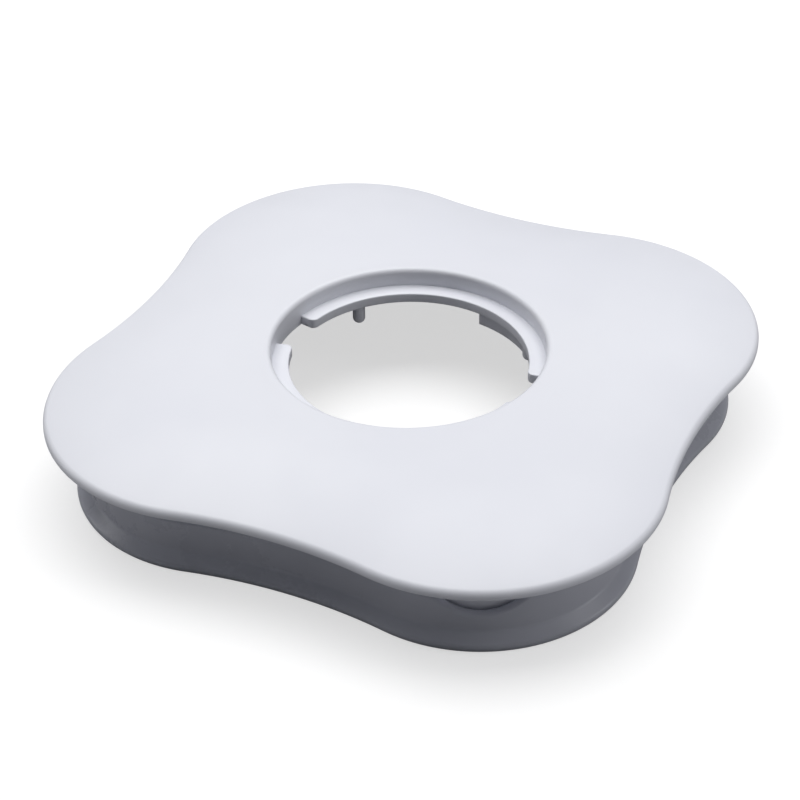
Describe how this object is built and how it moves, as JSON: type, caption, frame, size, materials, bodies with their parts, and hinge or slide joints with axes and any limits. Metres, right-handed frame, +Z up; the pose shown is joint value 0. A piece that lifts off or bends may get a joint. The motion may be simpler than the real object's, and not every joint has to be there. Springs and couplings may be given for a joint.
{
  "type": "blender jar lid",
  "caption": "Clover-shaped blender jar lid with a crowned top, a round opening for a twist-in filler cap and a soft seal ring around its skirt.",
  "frame": {"origin": "middle of the lid, on the flat underside of the seal ring that it rests on", "axes": "+Z up through the filler opening; +X and +Y towards the middle of two hollow sides, so that the lobes lie on the diagonals and the gaps in the ledge on the X axis"},
  "size_m": [0.124, 0.124, 0.0227],
  "materials": {
    "lid_plastic": "satin moulded, cool off-white",
    "seal": "smooth and slightly glossy, cool light grey"
  },
  "bodies": {
    "root": {"lid": "lid_plastic", "seal_ring": "seal"}
  },
  "joints": []
}
